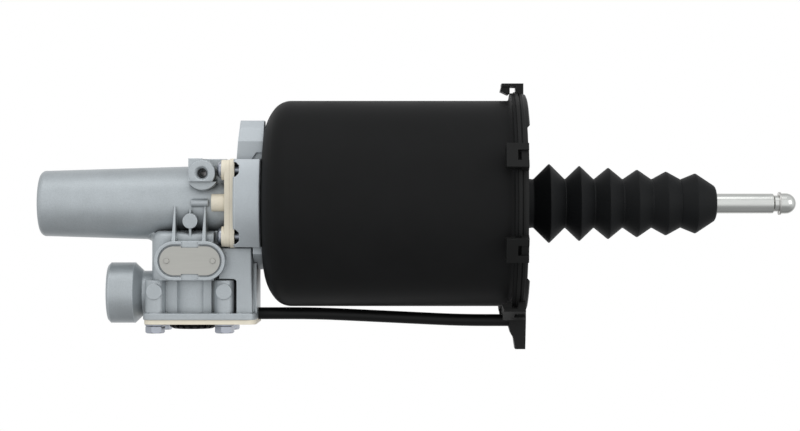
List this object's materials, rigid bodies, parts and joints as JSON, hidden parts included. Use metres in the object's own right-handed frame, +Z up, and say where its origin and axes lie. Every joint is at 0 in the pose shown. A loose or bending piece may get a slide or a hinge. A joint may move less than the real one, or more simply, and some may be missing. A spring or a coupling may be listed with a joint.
{
  "type": "clutch servo",
  "caption": "Air-assisted hydraulic clutch servo: tapered slave cylinder with a relay valve, black air cylinder, bellows and sliding push rod.",
  "frame": {"origin": "centre of the mounting pattern on the machined left face of the mounting casting, on the cylinder axis", "axes": "+X along the cylinder axis towards the push rod, +Z up away from the relay valve, -Y towards the side with the bleed port and the name plate"},
  "size_m": [0.4534, 0.138, 0.1586],
  "materials": {
    "cast_alloy": "die cast, fine grain",
    "cast_casting": "die cast and machined",
    "cream_flange": "satin cream coat",
    "zinc_screw": "bright zinc",
    "seal_rubber": "moulded",
    "black_steel": "satin black coat",
    "black_plastic": "moulded, satin",
    "tube_plastic": "extruded",
    "boot_rubber": "moulded, satin",
    "rod_steel": "ground",
    "ring_brass": "dull",
    "piston_alloy": "turned",
    "inner_steel": "turned",
    "guide_plastic": "smooth",
    "bush_brass": "turned",
    "silencer_plastic": "moulded, ribbed",
    "plate_alloy": "warm grey anodised"
  },
  "bodies": {
    "housing": {"servo_housing": "cast_alloy", "mounting_casting": "cast_casting", "joint_flange": "cream_flange", "spacer_plate": "cream_flange", "joint_screws": "zinc_screw", "joint_oring": "seal_rubber", "cylinder_shell": "black_steel", "shell_screws": "zinc_screw", "front_cover": "black_plastic", "vent_tube": "tube_plastic", "bellows": "boot_rubber", "plunger_cup_seal": "seal_rubber", "plunger_guide_bush": "bush_brass", "preload_spring": "inner_steel", "air_sleeve": "inner_steel", "valve_seat": "bush_brass", "valve_guide": "bush_brass", "pilot_spring": "inner_steel", "inlet_spring": "inner_steel", "valve_base_plate": "cream_flange", "valve_screws": "zinc_screw", "exhaust_silencer": "silencer_plastic", "exhaust_flap": "seal_rubber", "name_plate": "plate_alloy", "name_plate_rivets": "plate_alloy"},
    "piston": {"power_piston": "piston_alloy", "ball_retainer": "inner_steel", "piston_lip_seal": "seal_rubber", "piston_guide_ring": "guide_plastic", "plunger": "inner_steel"},
    "push_rod": {"push_rod": "rod_steel", "rod_tip_ring": "ring_brass"},
    "pilot_piston": {"pilot_piston": "bush_brass", "pilot_seals": "seal_rubber"},
    "inlet_valve": {"inlet_valve": "bush_brass"}
  },
  "joints": [
    {"name": "piston_slide", "type": "slide", "parent": "housing", "child": "piston", "axis": [1, 0, 0], "range_m": [-0.065, 0], "stiffness_N_per_m": 500, "springref_m": 0.1, "deforming": ["preload_spring", "bellows"]},
    {"name": "rod_swing", "type": "hinge", "parent": "piston", "child": "push_rod", "pos_m": [0.1453, 0, 0], "axis": [0, 1, 0], "range_deg": [-2.5, 2.5], "stiffness_Nm_per_rad": 60},
    {"name": "pilot_piston_slide", "type": "slide", "parent": "housing", "child": "pilot_piston", "axis": [0, 0, -1], "range_m": [0, 0.003], "stiffness_N_per_m": 400, "springref_m": -0.004, "deforming": ["pilot_spring", "inlet_spring"]},
    {"name": "inlet_valve_slide", "type": "slide", "parent": "housing", "child": "inlet_valve", "axis": [0, 0, -1], "range_m": [0, 0.002], "stiffness_N_per_m": 400, "springref_m": -0.004}
  ],
  "couplings": [
    {"joint": "inlet_valve_slide", "follows": "pilot_piston_slide", "ratio": 0.6667}
  ]
}
